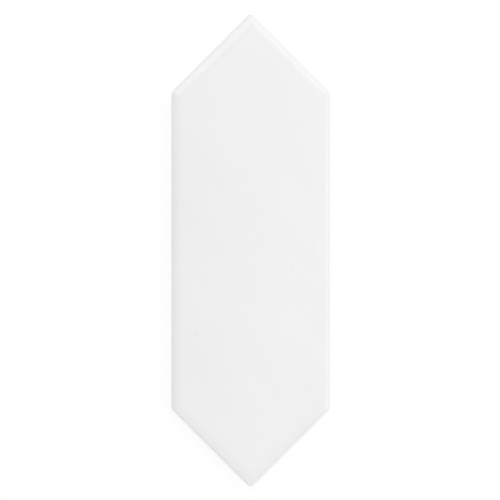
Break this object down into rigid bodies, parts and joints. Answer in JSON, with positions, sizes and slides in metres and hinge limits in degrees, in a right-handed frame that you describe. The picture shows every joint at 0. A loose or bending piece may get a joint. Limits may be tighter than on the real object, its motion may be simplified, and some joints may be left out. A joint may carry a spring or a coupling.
{
  "type": "ceramic wall tile",
  "caption": "Elongated hexagonal wall tile with right-angled points, a white gloss glaze over a softly cushioned edge, and a ribbed back for bedding in adhesive.",
  "frame": {"origin": "centre of the hexagonal outline, on the plane of the back that the tile rests on", "axes": "+Z out of the glazed face, +Y along the tile to the sharper of its two points, +X across it to a long side"},
  "size_m": [0.075, 0.2236, 0.008],
  "materials": {
    "white_glaze": "gloss"
  },
  "bodies": {
    "root": {"wall_tile": "white_glaze"}
  },
  "joints": []
}
